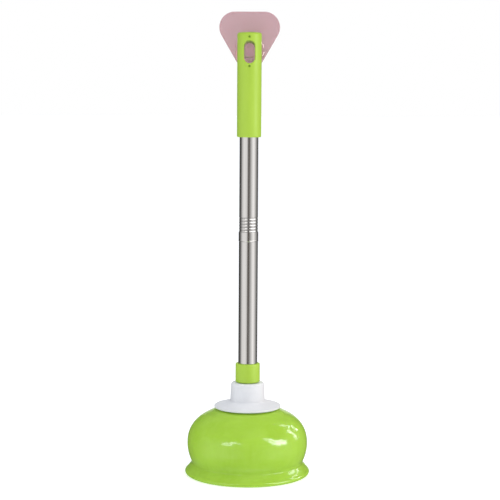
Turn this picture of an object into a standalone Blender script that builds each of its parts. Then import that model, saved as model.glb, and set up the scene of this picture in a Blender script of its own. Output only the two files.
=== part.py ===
"""A screw-together toilet plunger with the clear stick-on hook it hangs from.

The soft bell is bolted between a disc inside it and a hat-shaped collar on top. A ferrule joins the collar to a
two-piece steel handle, whose halves screw together, and a slotted grip closes the top. The wall hook sits in the
grip's slot. Metres, +Z up; the origin is the centre of the bell's mouth, on the floor, and the front faces -Y.
"""

import math

import bmesh
import bpy

MM = 0.001
GAP = 0.3 * MM  # between pieces that rest on each other
CLOSE_GAP = 0.15 * MM  # between round pieces that are a press or sliding fit
ROUND_STEPS = 32
BELL_STEPS = 48

# Steel handle, from 22 mm tube
TUBE_WALL = 0.4 * MM
LOWER_TUBE_R = 11.1 * MM
UPPER_TUBE_R = 10.85 * MM
SOCKET_R = 11.4 * MM  # expanded end of the lower tube, which takes the upper one
SOCKET_DEPTH = 10.7 * MM
JOINT_Z = 284.5 * MM  # top of the socket
UPPER_TUBE_TOP = 470.4 * MM
CRIMP_COUNT = 5
CRIMP_PITCH = 3.5 * MM
CRIMP_DEPTH = 0.4 * MM
CRIMP_HALF_WIDTH = 1.1 * MM
FIRST_CRIMP_Z = JOINT_Z + 1.8 * MM

# Soft bell
BELL_R = 70.4 * MM  # widest, at BELL_Z
BELL_Z = 36.3 * MM
BELL_RISE = 43.9 * MM  # from BELL_Z to the crown, if the crown weren't cut flat
BELL_SQUARENESS = 2.28  # exponent of the superellipse: 2 would be a plain ellipse
BELL_WALL = 3.5 * MM
SEAT_Z = 78.0 * MM  # flat seat on the crown
WAIST_R = 65.8 * MM  # where the bell meets its flared skirt
WAIST_Z = 15.9 * MM
CREASE_R = 71.4 * MM  # where the skirt meets the bead
CREASE_Z = 5.6 * MM
BEAD_R = 72.9 * MM  # widest of all
BEAD_WIDTH = 2.4 * MM
BEAD_RISE = 2.9 * MM
LAND_R = 67.0 * MM  # inner edge of the flat that stands on the floor

# Clamp, M8
BOLT_R = 4.0 * MM
BOLT_HOLE_R = 4.3 * MM
BOLT_LENGTH = 60.0 * MM
HEX_WIDTH = 13.0 * MM  # across the flats
HEAD_HEIGHT = 5.3 * MM
NUT_HEIGHT = 6.5 * MM
WASHER_R = 12.0 * MM
WASHER_HEIGHT = 1.6 * MM
PLATE_R = 25.0 * MM
PLATE_HEIGHT = 3.0 * MM

# Collar and ferrule
COLLAR_FLOOR = 4.0 * MM
COLLAR_HEIGHT = 29.4 * MM
FLANGE_R = 38.8 * MM
FLANGE_EDGE = 2.0 * MM
HUB_BASE_R = 20.3 * MM
HUB_TOP_R = 19.2 * MM
HUB_BASE_RISE = 7.3 * MM  # of the hub's base above the collar's underside
HUB_EDGE = 2.5 * MM
FERRULE_R = 14.2 * MM
FERRULE_HEIGHT = 22.4 * MM
FERRULE_FLOOR = 3.0 * MM
FERRULE_EDGE = 1.4 * MM
SPIGOT_R = 10.8 * MM

# Threaded joint between the two lengths of tube
THREAD_R = 7.5 * MM
THREAD_BORE_R = 7.7 * MM
STUD_LENGTH = 23.8 * MM
CORE_LENGTH = 30.0 * MM  # of the connector inside the upper tube
INSERT_LENGTH = 28.0 * MM
SEAL_HEIGHT = 1.2 * MM

# Grip
GRIP_R = 14.0 * MM
GRIP_BOTTOM = 393.7 * MM
GRIP_TOP = 513.6 * MM
GRIP_EDGE = 1.4 * MM
GRIP_DOME = 0.6 * MM
SLOT_BOTTOM = 478.1 * MM
SLOT_TOP = 503.7 * MM
SLOT_HALF_WIDTH = 6.15 * MM

# Wall hook, layered behind the grip
BOSS_R = 17.5 * MM
BOSS_Z = 493.5 * MM
BOSS_THICKNESS = 4.0 * MM
HOOK_WIDTH = 9.5 * MM
HOOK_ARM = 4.0 * MM
HOOK_TONGUE = 3.0 * MM
HOOK_REACH = -3.0 * MM  # y of the tongue's front face
HOOK_TIP_Z = 496.0 * MM
PLATE_CORNER_R = 18.15 * MM
PLATE_CORNER_SPAN = 34.3 * MM  # between the centres of two corners
PLATE_TOP = 538.0 * MM
SHEET_THICKNESS = 1.0 * MM
ADHESIVE_THICKNESS = 0.8 * MM
LINER_THICKNESS = 0.3 * MM

# Heights and depths that follow
BORE_R = UPPER_TUBE_R + CLOSE_GAP
INNER_R = LOWER_TUBE_R - TUBE_WALL - CLOSE_GAP  # of what is pressed into the lower tube
CORE_R = UPPER_TUBE_R - TUBE_WALL - CLOSE_GAP  # of what is pressed into the upper tube
COLLAR_BOTTOM = SEAT_Z + GAP
COLLAR_TOP = COLLAR_BOTTOM + COLLAR_HEIGHT
SHOULDER_Z = COLLAR_TOP + GAP
FERRULE_TOP = SHOULDER_Z + FERRULE_HEIGHT
LOWER_TUBE_BOTTOM = SHOULDER_Z + FERRULE_FLOOR + GAP
SOCKET_FLOOR = JOINT_Z - SOCKET_DEPTH
PLATE_UNDERSIDE = SEAT_Z - BELL_WALL - GAP - PLATE_HEIGHT
WASHER_UNDERSIDE = PLATE_UNDERSIDE - GAP - WASHER_HEIGHT
HEAD_TOP = WASHER_UNDERSIDE - GAP
BOLT_END = HEAD_TOP + BOLT_LENGTH
NUT_BOTTOM = BOLT_END - NUT_HEIGHT - 3.0 * MM
PLUG_TOP = BOLT_END + 2.0 * MM
SEAL_TOP = SOCKET_FLOOR - GAP
SEAL_BOTTOM = SEAL_TOP - SEAL_HEIGHT
INSERT_TOP = SEAL_BOTTOM - GAP
BOSS_FRONT = GRIP_R + GAP
SHEET_FRONT = BOSS_FRONT + BOSS_THICKNESS + GAP
ADHESIVE_FRONT = SHEET_FRONT + SHEET_THICKNESS + CLOSE_GAP
LINER_FRONT = ADHESIVE_FRONT + ADHESIVE_THICKNESS + CLOSE_GAP


def clear_scene():
    for obj in list(bpy.data.objects):
        bpy.data.objects.remove(obj)


def new_collection(name):
    collection = bpy.data.collections.new(name)
    bpy.context.scene.collection.children.link(collection)
    return collection


clear_scene()
PARTS = new_collection("toilet_plunger")
CUTTERS = new_collection("cutters")


# ---------------------------------------------------------------- materials


def finish(name, colour, roughness, metallic=0.0, transmission=0.0):
    material = bpy.data.materials.new(name)
    material.use_nodes = True
    shader = material.node_tree.nodes["Principled BSDF"]
    shader.inputs["Base Color"].default_value = (*colour, 1.0)
    shader.inputs["Roughness"].default_value = roughness
    shader.inputs["Metallic"].default_value = metallic
    shader.inputs["Transmission Weight"].default_value = transmission
    material.diffuse_color = (*colour, 1.0 - 0.7 * transmission)
    return material


# ------------------------------------------------------------ shape helpers


def empty(name, z, parent=None):
    """A frame on the plunger's axis, which carries the pieces that move together."""
    obj = bpy.data.objects.new(name, None)
    obj.empty_display_size = 20 * MM
    PARTS.objects.link(obj)
    if parent:
        obj.parent = parent
        z -= height_of(parent)
    obj.location = (0.0, 0.0, z)
    return obj


def height_of(frame):
    """World height of an empty: every frame here only lifts its children."""
    height = 0.0
    while frame:
        height += frame.location.z
        frame = frame.parent
    return height


def add_object(name, data, parent, location, material=None, collection=PARTS):
    """Links an object at a world location under its parent frame."""
    obj = bpy.data.objects.new(name, data)
    collection.objects.link(obj)
    x, y, z = location
    if parent:
        obj.parent = parent
        z -= height_of(parent)
    obj.location = (x, y, z)
    if material:
        data.materials.append(material)
    return obj


def turned(name, outline, parent, material, steps=ROUND_STEPS, closed=True):
    """A solid of revolution from (radius, height) points that run down its outer side first.

    A closed outline makes a ring; an open one starts and ends on the axis.
    """
    base = min(z for _, z in outline)
    points = [(r, 0.0, z - base) for r, z in outline]
    edges = [(i, i + 1) for i in range(len(points) - 1)]
    if closed:
        edges.append((len(points) - 1, 0))
    mesh = bpy.data.meshes.new(name)
    mesh.from_pydata(points, edges, [])
    obj = add_object(name, mesh, parent, (0.0, 0.0, base), material)
    screw = obj.modifiers.new("Turn", "SCREW")
    screw.axis = "Z"
    screw.angle = 2 * math.pi
    screw.steps = screw.render_steps = steps
    screw.use_merge_vertices = True
    screw.merge_threshold = 0.00001
    screw.use_smooth_shade = True
    return obj


def arc(centre, radii, start, end, count):
    """Points on an ellipse's arc, angles in degrees from +radius towards +height, both ends included."""
    points = []
    for i in range(count + 1):
        angle = math.radians(start + (end - start) * i / count)
        points.append((centre[0] + radii[0] * math.cos(angle), centre[1] + radii[1] * math.sin(angle)))
    return points


def prism(name, radius, bottom, top, sides, collection=PARTS, parent=None, material=None):
    """A cylinder, or with six sides a hexagon, standing on the plunger's axis."""
    mesh = bpy.data.meshes.new(name)
    shape = bmesh.new()
    bmesh.ops.create_cone(
        shape,
        cap_ends=True,
        segments=sides,
        radius1=radius,
        radius2=radius,
        depth=top - bottom,
    )
    shape.to_mesh(mesh)
    shape.free()
    return add_object(name, mesh, parent, (0.0, 0.0, (bottom + top) / 2), material, collection)


def guide(obj):
    """Marks a Boolean's second shape, which isn't part of the plunger."""
    obj.hide_render = True
    obj.display_type = "WIRE"
    return obj


def combine(obj, other, operation):
    boolean = obj.modifiers.new(operation.title(), "BOOLEAN")
    boolean.operation = operation
    boolean.object = guide(other)


def slab(name, outline, front, thickness, parent, material, collection=PARTS):
    """An upright sheet from an outline of (x, z) points, its front face at y = front."""
    curve = bpy.data.curves.new(name, "CURVE")
    curve.dimensions = "2D"
    curve.fill_mode = "BOTH"
    curve.extrude = thickness / 2
    middle = sum(z for _, z in outline) / len(outline)
    spline = curve.splines.new("POLY")
    spline.points.add(len(outline) - 1)
    for point, (x, z) in zip(spline.points, outline):
        point.co = (x, z - middle, 0.0, 1.0)
    spline.use_cyclic_u = True
    obj = add_object(name, curve, parent, (0.0, front + thickness / 2, middle), material, collection)
    obj.rotation_euler = (math.pi / 2, 0.0, 0.0)
    return obj


def as_mesh(obj):
    """Replaces a curve object by the mesh that it draws, with its loose caps welded on."""
    bpy.context.view_layer.update()
    graph = bpy.context.evaluated_depsgraph_get()
    mesh = bpy.data.meshes.new_from_object(obj.evaluated_get(graph))
    shape = bmesh.new()
    shape.from_mesh(mesh)
    bmesh.ops.remove_doubles(shape, verts=shape.verts, dist=0.00001)
    bmesh.ops.recalc_face_normals(shape, faces=shape.faces)
    shape.to_mesh(mesh)
    shape.free()
    solid = bpy.data.objects.new(obj.name, mesh)
    for collection in obj.users_collection:
        collection.objects.link(solid)
    solid.parent = obj.parent
    solid.location = obj.location
    solid.rotation_euler = obj.rotation_euler
    name = obj.name
    bpy.data.objects.remove(obj)
    solid.name = name
    return solid


# --------------------------------------------------------------------- bell


def bell_side(inset):
    """Points down the bell from its seat to its waist, inset from its outer skin."""
    across = BELL_R - inset
    rise = BELL_RISE - inset
    power = 2 / BELL_SQUARENESS
    crown_points = 9
    side_points = 4
    seat_angle = math.asin(((SEAT_Z - inset - BELL_Z) / rise) ** (1 / power))
    points = []
    for i in range(crown_points + 1):
        angle = seat_angle * (1 - i / crown_points)
        points.append((across * math.cos(angle) ** power, BELL_Z + rise * math.sin(angle) ** power))
    for i in range(1, side_points + 1):
        down = i / side_points
        r = WAIST_R - inset + (BELL_R - WAIST_R) * (1 - down**2.1)
        points.append((r, BELL_Z + (WAIST_Z - BELL_Z) * down))
    return points


def flare(start, end, power, count):
    """A skirt that leaves start straight down and curls out to end, without its first point."""
    points = []
    for i in range(1, count + 1):
        down = i / count
        points.append((start[0] + (end[0] - start[0]) * down**power, start[1] + (end[1] - start[1]) * down))
    return points


def make_bell(frame, green):
    bead_centre = (BEAD_R - BEAD_WIDTH, BEAD_RISE)
    outside = [(BOLT_HOLE_R, SEAT_Z)] + bell_side(0.0)
    outside += flare((WAIST_R, WAIST_Z), (CREASE_R, CREASE_Z), 2.2, 3)
    outside += arc(bead_centre, (BEAD_WIDTH, BEAD_RISE), 48, -90, 5)
    inner_waist = (WAIST_R - BELL_WALL, WAIST_Z)
    inside = bell_side(BELL_WALL) + flare(inner_waist, (LAND_R, 0.0), 1.4, 3)
    inside.insert(0, (BOLT_HOLE_R, SEAT_Z - BELL_WALL))
    turned("rubber_cup", outside + inside[::-1], frame, green, steps=BELL_STEPS)


# -------------------------------------------------------------------- clamp


def hex_radius(width):
    return width / 2 / math.cos(math.pi / 6)


def ring(name, inner, outer, bottom, top, frame, material):
    return turned(name, [(inner, top), (outer, top), (outer, bottom), (inner, bottom)], frame, material)


def make_clamp(frame, steel, white):
    plate_top = PLATE_UNDERSIDE + PLATE_HEIGHT
    edge = 1.0 * MM
    outline = [(BOLT_HOLE_R, plate_top), (PLATE_R, plate_top)]
    outline += arc((PLATE_R - edge, PLATE_UNDERSIDE + edge), (edge, edge), 0, -90, 3)
    outline.append((BOLT_HOLE_R, PLATE_UNDERSIDE))
    turned("clamp_plate", outline, frame, white)
    ring("clamp_washer", BOLT_HOLE_R, WASHER_R, WASHER_UNDERSIDE, WASHER_UNDERSIDE + WASHER_HEIGHT, frame, steel)

    bolt = prism(
        "clamp_bolt", hex_radius(HEX_WIDTH), HEAD_TOP - HEAD_HEIGHT, HEAD_TOP, 6, parent=frame, material=steel
    )
    shank = prism("bolt_shank", BOLT_R, HEAD_TOP - HEAD_HEIGHT / 2, BOLT_END, 24, CUTTERS)
    combine(bolt, shank, "UNION")

    nut = prism(
        "captive_nut", hex_radius(HEX_WIDTH), NUT_BOTTOM, NUT_BOTTOM + NUT_HEIGHT, 6, parent=frame, material=steel
    )
    bore = prism("nut_bore", BOLT_HOLE_R, NUT_BOTTOM - GAP, NUT_BOTTOM + NUT_HEIGHT + GAP, 24, CUTTERS)
    combine(nut, bore, "DIFFERENCE")


def make_collar(frame, white):
    hub_base_z = COLLAR_BOTTOM + HUB_BASE_RISE
    flange_top = COLLAR_BOTTOM + FLANGE_EDGE
    edge = FLANGE_EDGE / 2
    bore_r = SPIGOT_R + GAP
    outline = [(bore_r, COLLAR_TOP)]
    outline += arc((HUB_TOP_R - HUB_EDGE, COLLAR_TOP - HUB_EDGE), (HUB_EDGE, HUB_EDGE), 90, 0, 5)
    outline.append((HUB_BASE_R, hub_base_z))
    outline += arc((FLANGE_R - edge, flange_top - edge), (edge, edge), 75, -90, 5)
    outline.append((BOLT_HOLE_R, COLLAR_BOTTOM))
    outline.append((BOLT_HOLE_R, COLLAR_BOTTOM + COLLAR_FLOOR))
    outline.append((bore_r, COLLAR_BOTTOM + COLLAR_FLOOR))
    turned("white_collar", outline, frame, white)


def make_ferrule(frame, green):
    bore_r = LOWER_TUBE_R + GAP
    spigot_bottom = COLLAR_BOTTOM + COLLAR_FLOOR + GAP
    floor = SHOULDER_Z + FERRULE_FLOOR
    round_centre = FERRULE_R - FERRULE_EDGE
    radii = (FERRULE_EDGE, FERRULE_EDGE)
    outline = [(bore_r, FERRULE_TOP)]
    outline += arc((round_centre, FERRULE_TOP - FERRULE_EDGE), radii, 90, 0, 4)
    outline += arc((round_centre, SHOULDER_Z + FERRULE_EDGE), radii, 0, -90, 4)
    outline += [(SPIGOT_R, SHOULDER_Z), (SPIGOT_R, spigot_bottom), (BOLT_HOLE_R, spigot_bottom)]
    outline += [(BOLT_HOLE_R, floor), (bore_r, floor)]
    turned("ferrule", outline, frame, green)


# ------------------------------------------------------------------- handle


def crimped(radius):
    """Points down the crimped stretch of a wall of this radius, one V-shaped groove for each crimp."""
    points = []
    for i in reversed(range(CRIMP_COUNT)):
        z = FIRST_CRIMP_Z + i * CRIMP_PITCH
        points += [
            (radius, z + CRIMP_HALF_WIDTH),
            (radius - CRIMP_DEPTH, z),
            (radius, z - CRIMP_HALF_WIDTH),
        ]
    return points


def make_lower_handle(frame, steel, plastic):
    inner_r = LOWER_TUBE_R - TUBE_WALL
    socket_inner_r = SOCKET_R - TUBE_WALL
    taper = 0.8 * MM
    outline = [
        (socket_inner_r, JOINT_Z),
        (SOCKET_R, JOINT_Z),
        (SOCKET_R, SOCKET_FLOOR + taper),
        (LOWER_TUBE_R, SOCKET_FLOOR),
        (LOWER_TUBE_R, LOWER_TUBE_BOTTOM),
        (inner_r, LOWER_TUBE_BOTTOM),
        (inner_r, SOCKET_FLOOR - taper),
        (socket_inner_r, SOCKET_FLOOR - CLOSE_GAP),
    ]
    turned("lower_tube", outline, frame, steel)

    plug = ring("tube_end_plug", BOLT_HOLE_R, INNER_R, LOWER_TUBE_BOTTOM, PLUG_TOP, frame, plastic)
    pocket = prism("nut_pocket", hex_radius(HEX_WIDTH) + GAP, NUT_BOTTOM - GAP, PLUG_TOP + GAP, 6, CUTTERS)
    combine(plug, pocket, "DIFFERENCE")
    ring("lower_insert", THREAD_BORE_R, INNER_R, INSERT_TOP - INSERT_LENGTH, INSERT_TOP, frame, plastic)


def make_upper_handle(frame, steel, plastic):
    inner_r = UPPER_TUBE_R - TUBE_WALL
    outline = [(inner_r, UPPER_TUBE_TOP), (UPPER_TUBE_R, UPPER_TUBE_TOP)]
    outline += crimped(UPPER_TUBE_R)
    outline += [(UPPER_TUBE_R, SOCKET_FLOOR), (inner_r, SOCKET_FLOOR)]
    outline += crimped(inner_r)[::-1]
    turned("upper_tube", outline, frame, steel)

    stud_bottom = SOCKET_FLOOR - STUD_LENGTH
    lead_in = 1.0 * MM
    outline = [(0.0, SOCKET_FLOOR + CORE_LENGTH), (CORE_R, SOCKET_FLOOR + CORE_LENGTH)]
    outline += crimped(CORE_R)
    outline += [(CORE_R, SOCKET_FLOOR), (THREAD_R, SOCKET_FLOOR), (THREAD_R, stud_bottom + lead_in)]
    outline += [(THREAD_R - lead_in, stud_bottom), (0.0, stud_bottom)]
    turned("joint_connector", outline, frame, plastic, closed=False)


def stadium(half_width, bottom, top, count):
    """Outline of an upright slot with round ends, as (x, z) points."""
    radii = (half_width, half_width)
    return arc((0.0, top - half_width), radii, 0, 180, count) + arc(
        (0.0, bottom + half_width), radii, 180, 360, count
    )


def make_grip(frame, green):
    floor = UPPER_TUBE_TOP + GAP
    radii = (GRIP_EDGE, GRIP_EDGE)
    outline = [(0.0, GRIP_TOP), (GRIP_R * 0.5, GRIP_TOP - GRIP_DOME * 0.25)]
    outline += arc((GRIP_R - GRIP_EDGE, GRIP_TOP - GRIP_DOME - GRIP_EDGE), radii, 90, 0, 4)
    outline += arc((GRIP_R - GRIP_EDGE, GRIP_BOTTOM + GRIP_EDGE), radii, 0, -90, 4)
    outline += [(BORE_R, GRIP_BOTTOM), (BORE_R, floor), (0.0, floor)]
    grip = turned("grip", outline, frame, green, closed=False)
    slot_outline = stadium(SLOT_HALF_WIDTH, SLOT_BOTTOM, SLOT_TOP, 12)
    slot = slab("grip_slot", slot_outline, -1.5 * GRIP_R, 3 * GRIP_R, None, None, CUTTERS)
    combine(grip, as_mesh(slot), "DIFFERENCE")


# ---------------------------------------------------------------- wall hook


def hook_outline():
    """Side view of the J, as (y, z) points: the arm leaves the boss and turns up into the tongue."""
    arm_bottom = SLOT_BOTTOM + 2.7 * MM  # clears the slot's round end at the hook's corners
    arm_top = arm_bottom + HOOK_ARM
    root = BOSS_FRONT + BOSS_THICKNESS / 2
    tongue_back = HOOK_REACH + HOOK_TONGUE
    tip_r = HOOK_TONGUE / 2
    bend = 3.0 * MM
    crook = 1.5 * MM
    outline = [(root, arm_bottom)]
    outline += [(root, arm_top)]
    outline += arc((tongue_back + crook, arm_top + crook), (crook, crook), 270, 180, 3)
    outline += arc((HOOK_REACH + tip_r, HOOK_TIP_Z - tip_r), (tip_r, tip_r), 0, 180, 6)
    outline += arc((HOOK_REACH + bend, arm_bottom + bend), (bend, bend), 180, 270, 4)
    return outline


def rounded_triangle(inset):
    """Outline of the backing sheet, point down, as (x, z) points."""
    corner_r = PLATE_CORNER_R - inset
    upper = PLATE_TOP - PLATE_CORNER_R
    half = PLATE_CORNER_SPAN / 2
    lower = upper - PLATE_CORNER_SPAN * math.sin(math.pi / 3)
    radii = (corner_r, corner_r)
    outline = arc((half, upper), radii, -30, 90, 8)
    outline += arc((-half, upper), radii, 90, 210, 8)
    outline += arc((0.0, lower), radii, 210, 330, 8)
    return outline


def make_wall_hook(frame, clear, glue, pink):
    circle = arc((0.0, BOSS_Z), (BOSS_R, BOSS_R), 0, 360, 40)[:-1]
    boss = as_mesh(slab("hook_body", circle, BOSS_FRONT, BOSS_THICKNESS, frame, clear))
    arm = as_mesh(slab("hook_arm", hook_outline(), -HOOK_WIDTH / 2, HOOK_WIDTH, None, None, CUTTERS))
    # The outline was drawn facing the front: a quarter turn points it along the slot.
    arm.rotation_euler = (math.pi / 2, 0.0, math.pi / 2)
    arm.location.y = 0.0
    combine(boss, arm, "UNION")

    slab("hook_plate", rounded_triangle(0.0), SHEET_FRONT, SHEET_THICKNESS, frame, clear)
    slab("hook_adhesive", rounded_triangle(0.8 * MM), ADHESIVE_FRONT, ADHESIVE_THICKNESS, frame, glue)
    slab("release_liner", rounded_triangle(0.2 * MM), LINER_FRONT, LINER_THICKNESS, frame, pink)


# ----------------------------------------------------------------- assembly


def main():
    green = finish("apple_green_plastic", (0.42, 0.66, 0.09), 0.25)
    soft_green = finish("soft_green_pvc", (0.38, 0.66, 0.07), 0.2)
    white = finish("white_plastic", (0.80, 0.81, 0.82), 0.4)
    steel = finish("stainless_steel", (0.60, 0.59, 0.58), 0.25, metallic=1.0)
    zinc = finish("zinc_plated_steel", (0.62, 0.63, 0.64), 0.35, metallic=1.0)
    nylon = finish("natural_nylon", (0.72, 0.70, 0.64), 0.45)
    clear = finish("clear_plastic", (0.95, 0.96, 0.97), 0.08, transmission=0.9)
    glue = finish("clear_adhesive", (0.92, 0.90, 0.88), 0.3, transmission=0.8)
    pink = finish("pink_release_film", (0.56, 0.34, 0.37), 0.3)

    bell_frame = empty("bell_frame", 0.0)
    lower_frame = empty("lower_handle_frame", SEAT_Z, bell_frame)
    thread_frame = empty("thread_frame", SEAL_BOTTOM, lower_frame)
    upper_frame = empty("upper_handle_frame", SOCKET_FLOOR, thread_frame)
    hook_frame = empty("wall_hook_frame", BOSS_Z, upper_frame)

    make_bell(bell_frame, soft_green)
    make_clamp(lower_frame, zinc, white)
    make_collar(lower_frame, white)
    make_ferrule(lower_frame, green)
    make_lower_handle(lower_frame, steel, nylon)
    seal_r = INNER_R - CLOSE_GAP
    ring("thread_washer", THREAD_R + GAP, seal_r, SEAL_BOTTOM, SEAL_TOP, thread_frame, nylon)
    make_upper_handle(upper_frame, steel, nylon)
    make_grip(upper_frame, green)
    make_wall_hook(hook_frame, clear, glue, pink)


main()
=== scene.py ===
"""Looks of a screw-together toilet plunger and its stick-on hook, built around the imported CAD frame.

Metres, +Z up. The front, where the grip's slot faces the camera, is -Y.
"""
import math

import bmesh
import bpy
from mathutils import Matrix, Quaternion, Vector, noise


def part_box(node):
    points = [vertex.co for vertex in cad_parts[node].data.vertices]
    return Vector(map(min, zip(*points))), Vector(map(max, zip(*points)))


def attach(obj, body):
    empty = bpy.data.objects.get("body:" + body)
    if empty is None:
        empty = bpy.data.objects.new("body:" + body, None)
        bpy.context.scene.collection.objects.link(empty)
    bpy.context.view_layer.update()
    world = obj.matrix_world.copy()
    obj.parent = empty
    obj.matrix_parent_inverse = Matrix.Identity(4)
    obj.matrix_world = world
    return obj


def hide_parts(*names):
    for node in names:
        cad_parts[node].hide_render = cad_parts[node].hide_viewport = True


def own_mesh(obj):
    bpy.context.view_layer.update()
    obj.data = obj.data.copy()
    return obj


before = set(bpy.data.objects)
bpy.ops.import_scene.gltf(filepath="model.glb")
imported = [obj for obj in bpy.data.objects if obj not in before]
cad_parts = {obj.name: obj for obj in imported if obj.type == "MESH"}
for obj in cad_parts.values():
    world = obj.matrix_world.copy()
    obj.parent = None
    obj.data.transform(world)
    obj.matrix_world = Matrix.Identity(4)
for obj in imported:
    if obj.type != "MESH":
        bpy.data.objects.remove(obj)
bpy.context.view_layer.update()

MM = 0.001

# ------------------------------------------------------------------- sizes
# Places come from the frame's boxes; the rest repeats the design's own sizes.

BELL_LOW, BELL_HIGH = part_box("rubber_cup")
COLLAR_LOW, COLLAR_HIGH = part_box("white_collar")
FERRULE_LOW, FERRULE_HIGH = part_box("ferrule")
LOWER_LOW, LOWER_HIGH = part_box("lower_tube")
UPPER_LOW, UPPER_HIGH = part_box("upper_tube")
GRIP_LOW, GRIP_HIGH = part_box("grip")
HOOK_LOW, HOOK_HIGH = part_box("hook_body")
CORE_LOW, CORE_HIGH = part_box("joint_connector")
BOLT_LOW, BOLT_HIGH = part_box("clamp_bolt")

TUBE_WALL = 0.4 * MM
LOWER_TUBE_R = 11.1 * MM
UPPER_TUBE_R = UPPER_HIGH.x
SOCKET_R = LOWER_HIGH.x
SOCKET_DEPTH = 10.9 * MM
CRIMP_COUNT = 5
CRIMP_FIRST = LOWER_HIGH.z + 1.8 * MM
CRIMP_PITCH = 3.5 * MM
CRIMP_DEPTH = 0.3 * MM
CRIMP_WIDTH = 0.72 * MM
BELL_R = 70.4 * MM
BELL_Z = 36.3 * MM
BELL_RISE = 43.9 * MM
BELL_SQUARENESS = 2.28
BELL_WALL = 3.5 * MM
PRESSED_RISE = 1.5 * MM  # how far the collar's flange presses the crown up round it
PRESSED_R = 33.0 * MM
PRESSED_WIDTH = 6.5 * MM
WAIST = (65.8 * MM, 15.9 * MM)
BEAD_R = BELL_HIGH.x
BEAD_ROUND = 2.7 * MM
BOLT_HOLE_R = 4.3 * MM
SLOT_HALF_WIDTH = 6.15 * MM
SLOT_BOTTOM = 478.1 * MM
SLOT_TOP = 503.7 * MM
SLOT_DRAFT = 2.2 * MM
SLOT_EDGE = 1.5 * MM
DIMPLES = (508.0 * MM, 474.8 * MM)
THREAD_R = 7.5 * MM
THREAD_ROOT = 6.3 * MM
THREAD_PITCH = 4.0 * MM
SEAL_HOLE_R = 7.8 * MM
BUSH_HOLE_R = 7.7 * MM
HOOK_TIP = 496.0 * MM
HOOK_THICKNESS = 4.0 * MM
HOOK_HALF_WIDTH = 4.75 * MM
SHEET_HALF_SPAN = 17.15 * MM  # between a sheet's middle and the centre of an upper corner


# ----------------------------------------------------------- shape helpers


def rounded(corners, closed=True):
    """An outline with its corners, given as (x, y, radius), replaced by arcs of that radius."""
    step = 8.0  # degrees between an arc's points
    points = []
    for i, (x, y, radius) in enumerate(corners):
        here = Vector((x, y))
        if radius == 0.0 or (not closed and i in (0, len(corners) - 1)):
            points.append((x, y))
            continue
        before = (Vector(corners[i - 1][:2]) - here).normalized()
        after = (Vector(corners[(i + 1) % len(corners)][:2]) - here).normalized()
        half = before.angle(after) / 2
        middle = here + (before + after).normalized() * (radius / math.sin(half))
        spoke = here + before * (radius / math.tan(half)) - middle
        far = here + after * (radius / math.tan(half)) - middle
        sweep = math.atan2(spoke.x * far.y - spoke.y * far.x, spoke.dot(far))
        count = max(2, math.ceil(abs(math.degrees(sweep)) / step))
        for k in range(count + 1):
            turn = Matrix.Rotation(sweep * k / count, 2)
            point = middle + turn @ spoke
            points.append((point.x, point.y))
    return points


def arc(centre, radius, start, end, count):
    """Points of a circle from one angle in degrees to another, both included."""
    points = []
    for i in range(count + 1):
        angle = math.radians(start + (end - start) * i / count)
        points.append((centre[0] + radius * math.cos(angle), centre[1] + radius * math.sin(angle)))
    return points


def scaled(corners):
    """Millimetres to metres, for a list of corners."""
    return [tuple(value * MM for value in corner) for corner in corners]


def make_object(name, verts, faces, smooth=40.0):
    mesh = bpy.data.meshes.new(name)
    mesh.from_pydata(verts, [], faces)
    mesh.validate()
    obj = bpy.data.objects.new(name, mesh)
    bpy.context.scene.collection.objects.link(obj)
    shade(obj, smooth)
    return obj


def shade(obj, angle):
    """Smooth shading that breaks at edges sharper than the angle in degrees."""
    obj.data.shade_smooth()
    obj.data.set_sharp_from_angle(angle=math.radians(angle))


def lathe(name, outline, steps=128, closed=True, shape=None, smooth=40.0):
    """Turns (radius, height) points, which run down the outer side first, about the plunger's axis.

    shape(radius, height, angle) may give each point its own radius.
    """
    verts, faces, rings = [], [], []
    for r, z in outline:
        if r < 1e-7:
            rings.append([len(verts)])
            verts.append((0.0, 0.0, z))
            continue
        rings.append(range(len(verts), len(verts) + steps))
        for i in range(steps):
            angle = 2 * math.pi * i / steps
            reach = shape(r, z, angle) if shape else r
            verts.append((reach * math.cos(angle), reach * math.sin(angle), z))
    lower_rings = rings[1:] + rings[:1] if closed else rings[1:]
    for upper, lower in zip(rings, lower_rings):
        for i in range(steps):
            j = (i + 1) % steps
            if len(upper) == 1:
                faces.append((upper[0], lower[i], lower[j]))
            elif len(lower) == 1:
                faces.append((upper[i], lower[0], upper[j]))
            else:
                faces.append((upper[i], lower[i], lower[j], upper[j]))
    return make_object(name, verts, faces, smooth)


def loft(name, rings):
    """A closed solid through rings of equally many points, with a flat cap on each end."""
    count = len(rings[0])
    verts = [point for ring in rings for point in ring]
    faces = []
    for k in range(len(rings) - 1):
        for i in range(count):
            j = (i + 1) % count
            faces.append((k * count + i, k * count + j, (k + 1) * count + j, (k + 1) * count + i))
    faces.append(tuple(reversed(range(count))))
    faces.append(tuple(range((len(rings) - 1) * count, len(rings) * count)))
    obj = make_object(name, verts, faces)
    face_outwards(obj)
    return obj


def face_outwards(obj):
    shape = bmesh.new()
    shape.from_mesh(obj.data)
    bmesh.ops.recalc_face_normals(shape, faces=shape.faces)
    shape.to_mesh(obj.data)
    shape.free()


def apply_modifiers(obj):
    """Replaces the object's mesh by what its modifiers make of it."""
    bpy.context.view_layer.update()
    graph = bpy.context.evaluated_depsgraph_get()
    mesh = bpy.data.meshes.new_from_object(obj.evaluated_get(graph), depsgraph=graph)
    obj.modifiers.clear()
    obj.data = mesh


def combine(obj, other, operation):
    """A Boolean with a second object, which is used up."""
    boolean = obj.modifiers.new("Boolean", "BOOLEAN")
    boolean.operation = operation
    boolean.solver = "EXACT"
    boolean.object = other
    apply_modifiers(obj)
    bpy.data.objects.remove(other)


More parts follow.
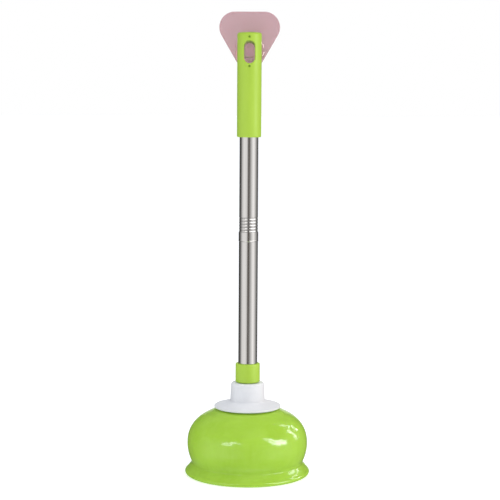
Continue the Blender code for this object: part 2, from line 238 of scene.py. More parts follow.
def soften(obj, width, segments):
    """Rounds the sharp edges and keeps the flats flat."""
    bevel = obj.modifiers.new("Bevel", "BEVEL")
    bevel.width = width
    bevel.segments = segments
    bevel.limit_method = "ANGLE"
    bevel.angle_limit = math.radians(30.0)
    apply_modifiers(obj)
    shade(obj, 30.0)


def weigh_normals(obj):
    """Leans each point's shading on its largest faces, which hides the slivers a Boolean leaves."""
    weighted = obj.modifiers.new("Weighted normals", "WEIGHTED_NORMAL")
    weighted.keep_sharp = True
    weighted.weight = 80


def slab(name, outline, front, back):
    """An upright solid from an outline of (x, z) points between two depths y."""
    return loft(name, [[(x, y, z) for x, z in outline] for y in (front, back)])


# --------------------------------------------------------------- materials


class Finish:
    """A Principled material with short calls for the nodes that give it detail.

    Its plain colour and roughness only count until colour() and gloss() put a pattern in their place.
    """

    def __init__(self, name, colour, roughness, **constants):
        self.material = bpy.data.materials.new(name)
        self.material.use_nodes = True
        self.nodes = self.material.node_tree.nodes
        self.links = self.material.node_tree.links
        self.shader = self.nodes["Principled BSDF"]
        self.material.diffuse_color = (*colour, 1.0)
        self.set("Base Color", (*colour, 1.0))
        self.set("Roughness", roughness)
        for socket, value in constants.items():
            self.set(socket.replace("_", " ").title(), value)
        self.coordinates = self.nodes.new("ShaderNodeTexCoord").outputs["Object"]

    def set(self, socket, value):
        {s.name.lower(): s for s in self.shader.inputs}[socket.lower()].default_value = value

    def stretched(self, scale):
        mapping = self.nodes.new("ShaderNodeMapping")
        mapping.inputs["Scale"].default_value = scale
        self.links.new(self.coordinates, mapping.inputs["Vector"])
        return mapping.outputs["Vector"]

    def noise(self, scale, detail=3.0, roughness=0.5, stretch=None, distortion=0.0):
        node = self.nodes.new("ShaderNodeTexNoise")
        node.inputs["Scale"].default_value = scale
        node.inputs["Detail"].default_value = detail
        node.inputs["Roughness"].default_value = roughness
        node.inputs["Distortion"].default_value = distortion
        self.links.new(self.stretched(stretch) if stretch else self.coordinates, node.inputs["Vector"])
        return node.outputs["Fac"]

    def ramp(self, value, low, high, start=0.3, end=0.7):
        """Maps value from start..end to low..high, which are both numbers or both colours."""
        node = self.nodes.new("ShaderNodeMapRange" if isinstance(low, float) else "ShaderNodeValToRGB")
        if isinstance(low, float):
            for socket, number in zip(("From Min", "From Max", "To Min", "To Max"), (start, end, low, high)):
                node.inputs[socket].default_value = number
            self.links.new(value, node.inputs["Value"])
            return node.outputs["Result"]
        for element, place, colour in zip(node.color_ramp.elements, (start, end), (low, high)):
            element.position = place
            element.color = (*colour, 1.0)
        self.links.new(value, node.inputs["Fac"])
        return node.outputs["Color"]

    def mix(self, first, second, factor):
        """Blends two colours; each is an output or a colour, and factor an output or a number."""
        node = self.nodes.new("ShaderNodeMix")
        node.data_type = "RGBA"
        for socket, value in ((node.inputs[6], first), (node.inputs[7], second), (node.inputs[0], factor)):
            if isinstance(value, bpy.types.NodeSocket):
                self.links.new(value, socket)
            elif isinstance(value, tuple):
                socket.default_value = (*value, 1.0)
            else:
                socket.default_value = value
        return node.outputs[2]

    def colour(self, output):
        self.links.new(output, self.shader.inputs["Base Color"])

    def gloss(self, output):
        self.links.new(output, self.shader.inputs["Roughness"])

    def bump(self, *heights):
        """Adds up bumps, each an (output, height in metres) pair."""
        normal = None
        for output, height in heights:
            node = self.nodes.new("ShaderNodeBump")
            node.inputs["Strength"].default_value = 1.0
            node.inputs["Distance"].default_value = height
            self.links.new(output, node.inputs["Height"])
            if normal:
                self.links.new(normal, node.inputs["Normal"])
            normal = node.outputs["Normal"]
        self.links.new(normal, self.shader.inputs["Normal"])

    def pass_lamplight(self):
        """Lets lamps shine through a clear piece, so that what is behind it is lit."""
        output = self.nodes["Material Output"]
        clear = self.nodes.new("ShaderNodeBsdfTransparent")
        path = self.nodes.new("ShaderNodeLightPath")
        mix = self.nodes.new("ShaderNodeMixShader")
        self.links.new(path.outputs["Is Shadow Ray"], mix.inputs["Fac"])
        self.links.new(self.shader.outputs["BSDF"], mix.inputs[1])
        self.links.new(clear.outputs["BSDF"], mix.inputs[2])
        self.links.new(mix.outputs["Shader"], output.inputs["Surface"])


def soft_green_pvc():
    """Glossy soft moulding: wavy skin, faint flow marks and cloudy colour."""
    finish = Finish("soft_green_pvc", (0.335, 0.565, 0.045), 0.16, ior=1.45, subsurface_weight=0.12)
    finish.set("Subsurface Scale", 0.004)
    finish.set("Subsurface Radius", (0.6, 1.0, 0.2))
    clouds = finish.ramp(finish.noise(28, 4, 0.55), (0.31, 0.522, 0.038), (0.355, 0.582, 0.054))
    flow = finish.ramp(finish.noise(60, 5, 0.6, stretch=(1.6, 1.6, 0.35)), 0.0, 0.5, 0.45, 0.75)
    finish.colour(finish.mix(clouds, (0.38, 0.60, 0.07), flow))
    finish.gloss(finish.ramp(finish.noise(45, 4, 0.6), 0.09, 0.2))
    finish.bump(
        (finish.noise(55, 2, 0.4, distortion=0.4), 0.0006),
        (finish.noise(200, 2, 0.45, stretch=(0.7, 0.7, 1.4)), 0.00026),
        (finish.noise(1400, 2, 0.5), 0.000006),
    )
    return finish.material


def apple_green_plastic():
    """Hard glossy moulding, a little yellower than the bell."""
    finish = Finish("apple_green_plastic", (0.42, 0.64, 0.07), 0.38)
    streaks = finish.noise(40, 4, 0.6, stretch=(1.0, 1.0, 0.3))
    clouds = finish.ramp(streaks, (0.355, 0.55, 0.038), (0.40, 0.60, 0.05))
    specks = finish.ramp(finish.noise(900, 3, 0.6), 0.0, 0.35, 0.55, 0.8)
    finish.colour(finish.mix(clouds, (0.43, 0.62, 0.07), specks))
    finish.gloss(finish.ramp(finish.noise(120, 5, 0.6, stretch=(1.0, 1.0, 0.4)), 0.32, 0.46))
    finish.bump(
        (finish.noise(90, 3, 0.5, stretch=(1.0, 1.0, 0.3)), 0.00010),
        (finish.noise(2600, 3, 0.5), 0.000008),
    )
    return finish.material


def white_plastic():
    """Satin moulding, faintly cloudy."""
    finish = Finish("white_plastic", (0.70, 0.705, 0.72), 0.42, subsurface_weight=0.1, subsurface_scale=0.003)
    finish.set("Subsurface Radius", (1.0, 1.0, 1.0))
    finish.colour(finish.ramp(finish.noise(55, 4, 0.6), (0.67, 0.675, 0.695), (0.72, 0.725, 0.74)))
    finish.gloss(finish.ramp(finish.noise(160, 4, 0.6), 0.36, 0.5))
    finish.bump((finish.noise(130, 3, 0.5), 0.00008), (finish.noise(3000, 3, 0.6), 0.00001))
    return finish.material


def polished_steel():
    """Drawn stainless tube: bright, with fine lines along its length."""
    finish = Finish("polished_steel", (0.62, 0.605, 0.59), 0.14, metallic=1.0, anisotropic=0.3)
    lines = finish.noise(900, 4, 0.7, stretch=(1.0, 1.0, 0.012))
    wide_lines = finish.noise(260, 3, 0.6, stretch=(1.0, 1.0, 0.02))
    finish.colour(
        finish.mix(
            finish.ramp(lines, (0.56, 0.54, 0.52), (0.66, 0.645, 0.63)),
            finish.ramp(wide_lines, (0.57, 0.545, 0.525), (0.65, 0.64, 0.63)),
            0.5,
        )
    )
    finish.gloss(finish.ramp(wide_lines, 0.10, 0.18))
    finish.bump((lines, 0.000006), (finish.noise(70, 2, 0.5, stretch=(1.0, 1.0, 0.1)), 0.00003))
    return finish.material


def zinc_plate():
    """Bright plating with a fine crystalline mottle."""
    finish = Finish("zinc_plate", (0.6, 0.61, 0.63), 0.35, metallic=1.0)
    finish.colour(finish.ramp(finish.noise(350, 5, 0.65), (0.50, 0.50, 0.50), (0.66, 0.67, 0.70)))
    finish.gloss(finish.ramp(finish.noise(800, 4, 0.6), 0.26, 0.46))
    finish.bump((finish.noise(1500, 4, 0.6), 0.00002))
    return finish.material


def natural_nylon():
    """Unpainted nylon, slightly yellow."""
    finish = Finish("natural_nylon", (0.72, 0.70, 0.62), 0.4, subsurface_weight=0.2, subsurface_scale=0.002)
    finish.colour(finish.ramp(finish.noise(120, 4, 0.6), (0.66, 0.64, 0.56), (0.76, 0.74, 0.67)))
    finish.gloss(finish.ramp(finish.noise(300, 3, 0.5), 0.32, 0.48))
    finish.bump((finish.noise(1100, 3, 0.5), 0.000015))
    return finish.material


def clear_plastic():
    """Clear moulding with a slightly uneven skin."""
    finish = Finish("clear_plastic", (1.0, 0.93, 0.955), 0.03, transmission_weight=1.0, ior=1.38)
    finish.gloss(finish.ramp(finish.noise(140, 3, 0.5), 0.015, 0.07))
    finish.bump((finish.noise(90, 2, 0.4), 0.00012))
    finish.pass_lamplight()
    return finish.material


def clear_sheet(name, colour, alpha, roughness):
    """A thin clear layer: too thin to bend light, so it only gleams and tints."""
    finish = Finish(name, colour, roughness)
    finish.set("Alpha", alpha)
    finish.gloss(finish.ramp(finish.noise(110, 3, 0.5), roughness * 0.7, roughness * 1.5))
    finish.bump((finish.noise(60, 2, 0.4), 0.0002))
    return finish.material


def pink_film():
    """Thin pink release film that lets some light through, mottled by the glue on it."""
    finish = Finish("pink_film", (0.435, 0.15, 0.19), 0.35, alpha=0.6)
    mottle = finish.ramp(finish.noise(420, 4, 0.7), (0.385, 0.115, 0.15), (0.485, 0.19, 0.225))
    patches = finish.ramp(finish.noise(45, 3, 0.5), 0.0, 0.45)
    finish.colour(finish.mix(mottle, (0.465, 0.17, 0.22), patches))
    finish.gloss(finish.ramp(finish.noise(200, 3, 0.5), 0.28, 0.45))
    finish.bump((finish.noise(600, 3, 0.6), 0.00003))
    return finish.material


# ------------------------------------------------------------------- pieces


def place(obj, material, body, slot, *nodes):
    """Gives a piece its material and its body, and hides the CAD nodes that it stands for; slot is not used.
    """
    obj.data.materials.clear()
    obj.data.materials.append(material)
    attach(obj, body)
    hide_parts(*nodes)


def bell_side(inset, crown_points=56, side_points=26):
    """Points down the bell from the flat seat on its crown to its waist, inset from the skin."""
    across = BELL_R - inset
    rise = BELL_RISE - inset
    power = 2 / BELL_SQUARENESS
    seat = math.asin(((BELL_HIGH.z - inset - BELL_Z) / rise) ** (1 / power))
    points = []
    for i in range(crown_points + 1):
        angle = seat * (1 - i / crown_points)
        r = across * math.cos(angle) ** power
        pressed = PRESSED_RISE * math.exp(-(((r - PRESSED_R) / PRESSED_WIDTH) ** 2))
        z = BELL_Z + rise * math.sin(angle) ** power + pressed
        points.append((r, min(z, BELL_HIGH.z - inset)))
    for i in range(1, side_points + 1):
        down = i / side_points
        r = WAIST[0] - inset + (BELL_R - WAIST[0]) * (1 - down**2.1)
        points.append((r, BELL_Z + (WAIST[1] - BELL_Z) * down))
    return points


def bell_ripple(r, z, angle):
    """A broad waviness in the soft skin, which dies out at the seat and the rim."""
    from_rim = min(1.0, max(0.0, (z - 8 * MM) / (14 * MM)))
    from_seat = min(1.0, max(0.0, (BELL_HIGH.z - z) / (9 * MM)))
    spot = Vector((r * math.cos(angle), r * math.sin(angle), z)) * 34.0
    return r + noise.noise(spot) * 0.16 * MM * (from_rim * from_seat)


def make_bell(material):
    seat = BELL_HIGH.z
    bead_centre = (BEAD_R - BEAD_ROUND, BEAD_ROUND)
    skirt = rounded([(*WAIST, 0.0), *scaled([(65.5, 12.8, 1.2), (70.75, 5.6, 0.0)])], closed=False)
    outside = [(BOLT_HOLE_R, seat)] + bell_side(0.0) + skirt[1:-1]
    outside += arc(bead_centre, BEAD_ROUND, 72, -90, 24)
    inside = [(BOLT_HOLE_R, seat - BELL_WALL)] + bell_side(BELL_WALL, 40, 18)
    under = scaled([(61.6, 12.6, 2.5), (66.4, 4.6, 3.0), (67.2, 0.0, 0.0)])
    inside += rounded([(WAIST[0] - BELL_WALL, WAIST[1], 0.0), *under], closed=False)[1:]
    bell = lathe("bell", outside + inside[::-1], 240, shape=bell_ripple, smooth=50.0)
    place(bell, material, "bell", "soft_green_pvc", "rubber_cup")
    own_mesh(bell)


def make_collar(material):
    low, high = COLLAR_LOW.z / MM, COLLAR_HIGH.z / MM
    outline = rounded(
        scaled([
            (11.1, high, 0.4),
            (19.15, high, 2.6),
            (20.25, low + 7.6, 1.6),
            (38.8, low + 2.3, 0.75),
            (38.8, low, 0.95),
            (4.3, low, 0.3),
            (4.3, low + 4.0, 0.3),
            (11.1, low + 4.0, 0.5),
        ])
    )
    place(lathe("collar", outline, 160), material, "lower_handle", "white_plastic", "white_collar")


def make_ferrule(material):
    low, high = FERRULE_LOW.z / MM, FERRULE_HIGH.z / MM
    shoulder = COLLAR_HIGH.z / MM + 0.3
    outline = rounded(
        scaled([
            (11.4, high, 0.3),
            (14.2, high, 1.5),
            (14.2, shoulder, 1.7),
            (10.8, shoulder, 0.3),
            (10.8, low, 0.6),
            (4.3, low, 0.2),
            (4.3, shoulder + 3.0, 0.2),
            (11.4, shoulder + 3.0, 0.3),
        ])
    )
    place(lathe("handle_ferrule", outline, 128), material, "lower_handle", "apple_green_plastic", "ferrule")


def ease(share):
    """A smooth step from 0 to 1."""
    share = min(1.0, max(0.0, share))
    return share * share * (3 - 2 * share)


def make_lower_tube(material):
    """The lower length: its expanded end has a rolled lip and runs out in a short ridge and swage."""
    top, bottom = LOWER_HIGH.z, LOWER_LOW.z
    lip = 0.5 * MM
    swage = 0.4 * MM
    ridge, ridge_width = 0.14 * MM, 0.55 * MM
    count = 140

    def wall(offset):
        points = []
        for i in range(count + 1):
            drop = lip + (SOCKET_DEPTH + swage - lip) * i / count
            past = drop - SOCKET_DEPTH + swage
            swell = 1 - ease(past / (2 * swage))
            bump = ridge * math.exp(-((past / ridge_width) ** 2))
            points.append((LOWER_TUBE_R + (SOCKET_R - LOWER_TUBE_R) * swell + bump + offset, top - drop))
        return points

    outline = arc((SOCKET_R - lip, top - lip), lip, 110, 0, 10)
    plain = top - SOCKET_DEPTH - 2 * swage  # keeps the swage's shading off the straight tube
    inner = LOWER_TUBE_R - TUBE_WALL
    outline += wall(0.0)[1:] + [(LOWER_TUBE_R, plain), (LOWER_TUBE_R, bottom)]
    outline += [(inner, bottom), (inner, plain)] + wall(-TUBE_WALL)[:0:-1]
    tube = lathe("lower_length", outline, smooth=50.0)
    place(tube, material, "lower_handle", "stainless_steel", "lower_tube")


def crimp_depth(z):
    """How deep the rolled crimps are at a height: rounded grooves in the tube and the core it grips."""
    depth = 0.0
    for i in range(CRIMP_COUNT):
        away = (z - CRIMP_FIRST - i * CRIMP_PITCH) / CRIMP_WIDTH
        depth += CRIMP_DEPTH * math.exp(-(away**2))
    return depth


def make_upper_tube(material):
    """The upper length, with finely spaced points where it is crimped."""
    top, bottom = UPPER_HIGH.z, UPPER_LOW.z
    band_low = LOWER_HIGH.z - 0.6 * MM
    band_high = CRIMP_FIRST + CRIMP_COUNT * CRIMP_PITCH
    count = 110
    band = [band_high + (band_low - band_high) * i / count for i in range(count + 1)]
    inner = UPPER_TUBE_R - TUBE_WALL
    outline = [(inner, top), (UPPER_TUBE_R, top)]
    outline += [(UPPER_TUBE_R - crimp_depth(z), z) for z in band]
    outline += [(UPPER_TUBE_R, bottom), (inner, bottom)]
    outline += [(inner - crimp_depth(z), z) for z in reversed(band)]
    tube = lathe("upper_length", outline, smooth=60.0)
    place(tube, material, "upper_handle", "stainless_steel", "upper_tube")


def stadium(half_width, bottom, top, count):
    """An upright slot's outline with round ends, as (x, z) points, anticlockwise from its right side."""
    middle_top = top - half_width
    middle_bottom = bottom + half_width
    points = []
    for start, z in ((0, middle_top), (180, middle_bottom)):
        points += arc((0.0, z), half_width, start, start + 180, count)
    return points


def slot_cutter(radius, edge):
    """The slot's hollow: rounded mouths that follow the grip's side, and a roof that falls to the back."""
    profile = [(edge, -6 * MM), (edge, -0.1 * MM)]
    for i in range(7):
        angle = math.pi / 2 * i / 6
        profile.append((edge * (1 - math.sin(angle)), edge * (1 - math.cos(angle))))
    rings = []
    for side, steps, roof in ((-1, profile, SLOT_TOP), (1, profile[::-1], SLOT_TOP - SLOT_DRAFT)):
        for widen, depth in steps:
            ring = []
            for x, z in stadium(SLOT_HALF_WIDTH + widen, SLOT_BOTTOM - widen, roof + widen, 28):
                surface = math.sqrt(radius**2 - x**2)
                ring.append((x, side * (surface - depth), z))
            rings.append(ring)
    return loft("slot_cutter", rings)


def dimple_cutter(z):
    """A round pit with a rolled mouth, on the grip's front."""
    rings = []
    for radius, depth in ((2.0, -1.0), (1.7, 0.0), (1.4, 0.15), (1.2, 0.5), (1.0, 2.6)):
        circle = arc((0.0, z), radius * MM, 0, 360, 24)[:-1]
        rings.append([(x, depth * MM - math.sqrt(GRIP_HIGH.x**2 - x**2), height) for x, height in circle])
    return loft("dimple_cutter", rings)


def make_grip(material):
    low, high = GRIP_LOW.z / MM, GRIP_HIGH.z / MM
    radius = GRIP_HIGH.x / MM
    outline = rounded(
        scaled([
            (0.0, high, 0.0),
            (8.5, high - 0.25, 12.0),
            (radius, high - 0.9, 2.6),
            (radius, low, 1.3),
            (11.0, low, 0.4),
            (11.0, UPPER_HIGH.z / MM + 0.3, 0.4),
            (0.0, UPPER_HIGH.z / MM + 0.3, 0.0),
        ]),
        closed=False,
    )
    grip = lathe("slotted_grip", outline, 160, closed=False)
    combine(grip, slot_cutter(GRIP_HIGH.x, SLOT_EDGE), "DIFFERENCE")
    for z in DIMPLES:
        combine(grip, dimple_cutter(z), "DIFFERENCE")
    shade(grip, 45.0)
    weigh_normals(grip)
    place(grip, material, "upper_handle", "apple_green_plastic", "grip")


def thread_shape(root, top, bottom):
    """A radius function that cuts a right-handed thread between two heights."""
    half_root, flank = 0.12, 0.2  # shares of the pitch

    def shape(r, z, angle):
        if r < root or not bottom < z < top:
            return r
        phase = (z / THREAD_PITCH - angle / (2 * math.pi)) % 1.0
        crest = ease((0.5 - abs(phase - 0.5) - half_root) / flank)
        run_out = ease((z - bottom) / (1.5 * MM)) * ease((top - z) / (1.0 * MM))
        return root + (r - root) * (1 - run_out * (1 - crest))

    return shape


def make_connector(material):
    """The moulded core inside the upper length, with the stud that shows when it is unscrewed."""
    low, high = CORE_LOW.z, CORE_HIGH.z
    shoulder = UPPER_LOW.z
    tip, tip_taper = 1.2 * MM, 1.1 * MM
    core_steps, stud_steps = 60, 120
    outline = [(0.0, high)]
    for i in range(core_steps + 1):
        z = high - (high - shoulder) * i / core_steps
        outline.append((CORE_HIGH.x - crimp_depth(z), z))
    for i in range(stud_steps + 1):
        z = shoulder - (shoulder - low) * i / stud_steps
        outline.append((THREAD_R - tip_taper * ease((tip - (z - low)) / tip), z))
    outline.append((0.0, low))
    shape = thread_shape(THREAD_ROOT, shoulder, low - 1 * MM)

    def only_stud(r, z, angle):
        return shape(r, z, angle) if r <= THREAD_R + 1e-6 and z < shoulder - 1e-6 else r

    obj = lathe("threaded_connector", outline, 96, closed=False, shape=only_stud, smooth=55.0)
    place(obj, material, "upper_handle", "natural_nylon", "joint_connector")


def make_ring(name, node, inner, edge, material, body, slot):
    """A washer, bush or disc that fills its node's box, with its edges rounded off."""
    low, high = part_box(node)
    outline = rounded([
        (inner, high.z, edge / 2),
        (high.x, high.z, edge),
        (high.x, low.z, edge),
        (inner, low.z, edge / 2),
    ])
    place(lathe(name, outline, 96), material, body, slot, node)


def hexagon(name, width, bottom, top, chamfer):
    """A hexagonal head or nut on the axis, its corners turned off at both ends."""
    across = width / 2 / math.cos(math.pi / 6)
    ring = [(across * math.cos(math.pi / 3 * i), across * math.sin(math.pi / 3 * i)) for i in range(6)]
    obj = loft(name, [[(x, y, z) for x, y in ring] for z in (bottom, top)])
    flat = width / 2 - 0.2 * MM
    reach = across + 0.1 * MM
    outline = [
        (0.0, top),
        (flat, top),
        (reach, top - chamfer),
        (reach, bottom + chamfer),
        (flat, bottom),
        (0.0, bottom),
    ]
    combine(obj, lathe("chamfer", outline, 96, closed=False), "INTERSECT")
    return obj


def make_bolt(material):
    """The M8 bolt and the nut caught above it."""
    across_flats, head, shank_r, bore_r = 13.0 * MM, 5.3 * MM, 4.0 * MM, 4.3 * MM
    bolt = hexagon("hex_bolt", across_flats, BOLT_LOW.z, BOLT_LOW.z + head, 0.8 * MM)
    root = BOLT_LOW.z + 2 * MM
    outline = rounded(
        [(0.0, BOLT_HIGH.z, 0.0), (shank_r, BOLT_HIGH.z, 0.7 * MM), (shank_r, root, 0.0), (0.0, root, 0.0)],
        closed=False,
    )
    combine(bolt, lathe("shank", outline, 64, closed=False), "UNION")
    shade(bolt, 30.0)
    place(bolt, material, "lower_handle", "zinc_plated_steel", "clamp_bolt")
    nut_low, nut_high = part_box("captive_nut")
    nut = hexagon("hex_nut", across_flats, nut_low.z, nut_high.z, 0.7 * MM)
    above, below = nut_high.z + 1 * MM, nut_low.z - 1 * MM
    bore = [(0.0, above), (bore_r, above), (bore_r, below), (0.0, below)]
    combine(nut, lathe("nut_bore", bore, 64, closed=False), "DIFFERENCE")
    shade(nut, 30.0)
    place(nut, material, "lower_handle", "zinc_plated_steel", "captive_nut")


def hook_outline():
    """Side view of the J as (y, z) points: the arm leaves the disc and turns up into the tongue."""
    arm_bottom = SLOT_BOTTOM + 2.7 * MM
    arm_top = arm_bottom + HOOK_THICKNESS
    root = HOOK_HIGH.y - HOOK_THICKNESS / 2
    front, back = HOOK_LOW.y, HOOK_LOW.y + 3.0 * MM
    return rounded([
        (root, arm_bottom, 0.0),
        (root, arm_top, 0.0),
        (back, arm_top, 2.0 * MM),
        (back, HOOK_TIP, 1.45 * MM),
        (front, HOOK_TIP, 1.45 * MM),
        (front, arm_bottom, 4.0 * MM),
    ])


def make_hook(material):
    """Clear disc with a rolled front edge and its J-shaped hook, all edges rounded."""
    front, back, edge = HOOK_HIGH.y - HOOK_THICKNESS, HOOK_HIGH.y, HOOK_HIGH.x
    centre_z = (HOOK_LOW.z + HOOK_HIGH.z) / 2
    profile = rounded(
        [(0.0, front, 0.0), (edge, front, 2.8 * MM), (edge, back, 0.5 * MM), (0.0, back, 0.0)],
        closed=False,
    )
    rings = []
    for radius, y in profile[1:-1]:
        circle = arc((0.0, centre_z), radius, 0, 360, 96)[:-1]
        rings.append([(x, y, z) for x, z in circle])
    hook = loft("clear_hook", rings)
    arm = loft("arm", [[(x, y, z) for y, z in hook_outline()] for x in (-HOOK_HALF_WIDTH, HOOK_HALF_WIDTH)])
    soften(arm, 1.1 * MM, 5)
    combine(hook, arm, "UNION")
    shade(hook, 35.0)
    place(hook, material, "wall_hook", "clear_plastic", "hook_body")


def make_layer(name, node, material, slot, edge):
    """One of the sheets behind the hook: a rounded triangle, point down, that fills its node's box."""
    low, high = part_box(node)
    half_width = (high.x - low.x) / 2
    corner_r = half_width - SHEET_HALF_SPAN
    upper = high.z - corner_r
    lower = low.z + corner_r
    outline = arc((SHEET_HALF_SPAN, upper), corner_r, -30, 90, 28)
    outline += arc((-SHEET_HALF_SPAN, upper), corner_r, 90, 210, 28)
    outline += arc((0.0, lower), corner_r, 210, 330, 28)
    layer = slab(name, outline, low.y, high.y)
    soften(layer, edge, 2)
    place(layer, material, "wall_hook", slot, node)


def make_pieces():
    white, steel, nylon, zinc = white_plastic(), polished_steel(), natural_nylon(), zinc_plate()
    green, clear = apple_green_plastic(), clear_plastic()
    make_bell(soft_green_pvc())
    make_collar(white)
    make_ferrule(green)
    make_lower_tube(steel)
    make_upper_tube(steel)
    make_grip(green)
    make_connector(nylon)
    make_bolt(zinc)
    for name, node, inner, edge, material, body, slot in (
        ("bell_plate", "clamp_plate", BOLT_HOLE_R, 0.9 * MM, white, "lower_handle", "white_plastic"),
        ("plain_washer", "clamp_washer", BOLT_HOLE_R, 0.25 * MM, zinc, "lower_handle", "zinc_plated_steel"),
        ("seal_washer", "thread_washer", SEAL_HOLE_R, 0.3 * MM, nylon, "thread_washer", "natural_nylon"),
        ("threaded_bush", "lower_insert", BUSH_HOLE_R, 0.4 * MM, nylon, "lower_handle", "natural_nylon"),
    ):
        make_ring(name, node, inner, edge, material, body, slot)
    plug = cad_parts["tube_end_plug"]
    plug.data.materials.clear()
    plug.data.materials.append(nylon)
    make_hook(clear)
    backing = clear_sheet("clear_backing", (0.86, 0.74, 0.76), 0.05, 0.08)
    gel = clear_sheet("gel", (0.8, 0.6, 0.63), 0.08, 0.3)
    make_layer("backing_sheet", "hook_plate", backing, "clear_plastic", 0.3 * MM)
    make_layer("gel_layer", "hook_adhesive", gel, "clear_adhesive", 0.2 * MM)
    make_layer("pink_liner", "release_liner", pink_film(), "pink_release_film", 0.08 * MM)


# -------------------------------------------------- camera, light and stage


def make_camera():
    """A long lens level with the grip, looking slightly down."""
    data = bpy.data.cameras.new("camera")
    data.lens = 108.0
    data.sensor_width = 36.0
    camera = bpy.data.objects.new("camera", data)
    bpy.context.scene.collection.objects.link(camera)
    camera.location = (1.9 * MM, -1.7318, 0.442)
    pitch = math.radians(90.0 - 5.9)
    roll = math.radians(0.34)
    camera.rotation_euler = (Matrix.Rotation(pitch, 3, "X") @ Matrix.Rotation(roll, 3, "Z")).to_euler()
    bpy.context.scene.camera = camera


def area_lamp(name, azimuth, elevation, distance, size, watts, target, colour=(1, 1, 1), roll=0):
    """A rectangular lamp that looks at target; azimuth 0 is the camera's side and 90 the right."""
    data = bpy.data.lights.new(name, "AREA")
    data.shape = "RECTANGLE"
    data.size, data.size_y = size
    data.energy = watts
    data.color = colour
    lamp = bpy.data.objects.new(name, data)
    bpy.context.scene.collection.objects.link(lamp)
    a, e = math.radians(azimuth), math.radians(elevation)
    direction = Vector((math.sin(a) * math.cos(e), -math.cos(a) * math.cos(e), math.sin(e)))
    lamp.location = Vector(target) + direction * distance
    turned = direction.to_track_quat("Z", "Y") @ Quaternion((0.0, 0.0, 1.0), math.radians(roll))
    lamp.rotation_euler = turned.to_euler()
    lamp.visible_camera = False
    lamp.visible_transmission = False
    return lamp


AMBIENT = (0.635, 0.665, 0.71)

# What polished metal sees round the studio: (azimuth from the camera's side, brightness, warmth).
STUDIO = (
    (-180, 1.1, 0.0), (-172, 0.9, 0.0), (-164, 0.06, 0.0), (-150, 0.06, 0.0), (-118, 0.10, 0.0),
    (-98, 0.35, 0.0), (-80, 0.95, 0.0), (-60, 1.15, 0.0), (-34, 1.15, 0.0), (-21, 1.0, 0.0),
    (-11, 0.42, 0.03), (-3, 0.10, 0.1), (5, 0.13, 0.1), (15, 0.38, 0.03), (28, 0.66, 0.0),
    (42, 1.05, 0.0), (60, 1.42, 0.0), (78, 1.1, 0.0), (96, 0.6, 0.0), (118, 0.24, 0.0),
    (150, 0.08, 0.0), (164, 0.06, 0.0), (172, 0.9, 0.0), (180, 1.1, 0.0),
)


def make_world():
    """White to the camera, even pale light on the piece; polished metal sees soft panels with dark gaps."""
    world = bpy.data.worlds.new("studio")
    bpy.context.scene.world = world
    world.cycles.sampling_method = "NONE"
    world.use_nodes = True
    nodes, links = world.node_tree.nodes, world.node_tree.links

    def sky(colour, strength):
        node = nodes.new("ShaderNodeBackground")
        node.inputs["Color"].default_value = (*colour, 1.0)
        node.inputs["Strength"].default_value = strength
        return node

    def step(kind, operation, *inputs):
        node = nodes.new(kind)
        node.operation = operation
        for socket, value in zip(node.inputs, inputs):
            if isinstance(value, bpy.types.NodeSocket):
                links.new(value, socket)
            else:
                socket.default_value = value
        return node.outputs[0]

    parts = nodes.new("ShaderNodeSeparateXYZ")
    links.new(nodes.new("ShaderNodeTexCoord").outputs["Generated"], parts.inputs["Vector"])
    towards_camera = step("ShaderNodeMath", "MULTIPLY", parts.outputs["Y"], -1.0)
    azimuth = step("ShaderNodeMath", "ARCTAN2", parts.outputs["X"], towards_camera)
    share = step("ShaderNodeMath", "MULTIPLY_ADD", azimuth, 0.5 / math.pi, 0.5)

    def climb(start, end):
        node = nodes.new("ShaderNodeMapRange")
        node.interpolation_type = "SMOOTHSTEP"
        node.inputs["From Min"].default_value = start
        node.inputs["From Max"].default_value = end
        links.new(parts.outputs["Z"], node.inputs["Value"])
        return node.outputs["Result"]

    def blend(factor, first, second):
        node = nodes.new("ShaderNodeMix")
        node.data_type = "RGBA"
        links.new(factor, node.inputs[0])
        for socket, value in ((node.inputs[6], first), (node.inputs[7], second)):
            if isinstance(value, bpy.types.NodeSocket):
                links.new(value, socket)
            else:
                socket.default_value = value
        return node.outputs[2]

    ramp = nodes.new("ShaderNodeValToRGB")
    elements = ramp.color_ramp.elements
    while len(elements) < len(STUDIO):
        elements.new(0.5)
    for element, (angle, brightness, warmth) in zip(elements, STUDIO):
        element.position = (angle + 180) / 360
        level = brightness / 2
        element.color = (level * (1 + warmth), level, level * (1 - warmth), 1.0)
    links.new(share, ramp.inputs["Fac"])
    white, dim, pale = (1.0, 1.0, 1.0), (0.12, 0.12, 0.12, 1.0), (0.6, 0.6, 0.6, 1.0)
    panels = sky(white, 2.0)
    level = blend(climb(0.2, 0.6), ramp.outputs["Color"], dim)
    level = blend(climb(-0.3, -0.55), level, dim)
    level = blend(climb(-0.7, -0.9), level, pale)
    links.new(level, panels.inputs["Color"])
    path = nodes.new("ShaderNodeLightPath")
    result = sky(AMBIENT, 1.0)
    for ray, seen in (
        ("Is Glossy Ray", panels),
        ("Is Transmission Ray", sky(white, 1.0)),
        ("Is Camera Ray", sky(white, 1.0)),
    ):
        mix = nodes.new("ShaderNodeMixShader")
        links.new(path.outputs[ray], mix.inputs["Fac"])
        links.new(result.outputs[0], mix.inputs[1])
        links.new(seen.outputs[0], mix.inputs[2])
        result = mix
    links.new(result.outputs[0], nodes["World Output"].inputs["Surface"])


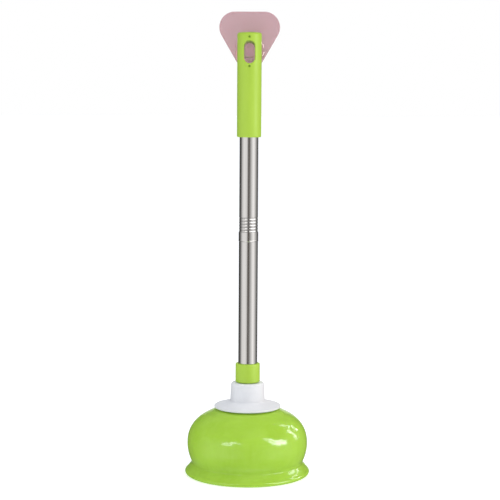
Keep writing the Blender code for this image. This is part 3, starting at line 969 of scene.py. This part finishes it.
def make_stage():
    """The floor and the lamps that light the pieces, none of which shows in a reflection."""
    reach, level = 30.0, -0.3 * MM
    corners = [(x * reach, y * reach, level) for x, y in ((-1, -1), (1, -1), (1, 1), (-1, 1))]
    floor = make_object("floor", corners, [(0, 1, 2, 3)])
    finish = Finish("pale_floor", (0.9, 0.9, 0.9), 0.8, emission_strength=0.47)
    finish.set("Emission Color", (1.0, 1.0, 1.0, 1.0))
    floor.data.materials.append(finish.material)
    floor.visible_glossy = False
    whole = (0.0, 0.0, 0.25)
    sides = ("bell", "collar", "handle_ferrule", "backing_sheet", "gel_layer", "pink_liner")
    for lamp, pieces in (
        (area_lamp("key", 76, 24, 2.4, (1.4, 1.4), 14.2, whole, (1.0, 0.87, 0.74)), ()),
        (area_lamp("front", 6, 7, 2.4, (0.6, 0.6), 3, whole), ()),
        (area_lamp("overhead", 10, 66, 2.4, (1.8, 1.8), 13, whole), ()),
        (area_lamp("left_side", -98, 12, 2.4, (1.2, 1.2), 7, whole), sides),
        (area_lamp("right_side", 118, 10, 2.4, (1.2, 1.2), 10, whole, (1.0, 0.85, 0.72)), sides),
        (area_lamp("skirt_light", 50, 50, 2.4, (0.8, 0.8), 2.4, whole, (1.0, 0.86, 0.72)), ("bell",)),
    ):
        lamp.visible_glossy = False
        light_only(lamp, pieces)
    make_glints()


def light_only(lamp, names):
    """Keeps a lamp's light to the pieces named; no names leave it on everything."""
    if not names:
        return
    receivers = bpy.data.collections.new(lamp.name + "_receivers")
    for name in names:
        receivers.objects.link(bpy.data.objects[name])
    lamp.light_linking.receiver_collection = receivers


def make_glints():
    """Small lamps that only draw highlights, each set on the pieces that it names."""
    bell_middle = (0.0, 0.0, 0.05)
    joint = (0.0, 0.0, LOWER_HIGH.z)
    boss = (0.0, HOOK_HIGH.y, (HOOK_LOW.z + HOOK_HIGH.z) / 2)
    cool = (0.86, 0.82, 1.0)
    warm = (1.0, 0.86, 0.84)
    bell = ("bell",)
    steel = ("lower_length", "upper_length")
    for lamp, names in (
        (area_lamp("glint", 67, 17, 2.0, (1.0, 0.6), 32, bell_middle, cool, -16), bell),
        (area_lamp("glint_tail", 49, 34, 2.0, (0.8, 0.16), 9, bell_middle, cool, -45), bell),
        (area_lamp("left_glint", -33, 21, 2.0, (1.15, 0.26), 7.5, bell_middle, cool, 22), bell),
        (area_lamp("side_glint", 112, 21, 2.0, (0.17, 1.0), 9, bell_middle, cool), bell),
        (area_lamp("rim_glint", 128, 34, 2.0, (0.03, 1.2), 3.6, bell_middle, cool), bell),
        (area_lamp("grip_glint", 66, 10, 2.0, (0.7, 0.9), 6, joint), ("slotted_grip",)),
        (area_lamp("ferrule_glint", 66, 16, 2.0, (0.8, 0.8), 18, bell_middle), ("handle_ferrule",)),
        (area_lamp("joint_glint", 57, 22, 1.6, (2.8, 0.55), 10, joint), steel),
        (area_lamp("joint_glint_left", -31, 24, 1.6, (0.8, 0.5), 1.4, joint), steel),
        (area_lamp("hook_glint", 92, 8, 1.2, (0.6, 1.5), 62, boss, warm), ("clear_hook",)),
        (area_lamp("hook_glint_left", -92, 8, 1.2, (0.6, 1.2), 6, boss, warm), ("clear_hook",)),
    ):
        lamp.visible_diffuse = False
        light_only(lamp, names)


make_pieces()
make_camera()
make_world()
make_stage()
bpy.context.scene.view_settings.view_transform = "Standard"
bpy.context.scene.cycles.transparent_max_bounces = 32
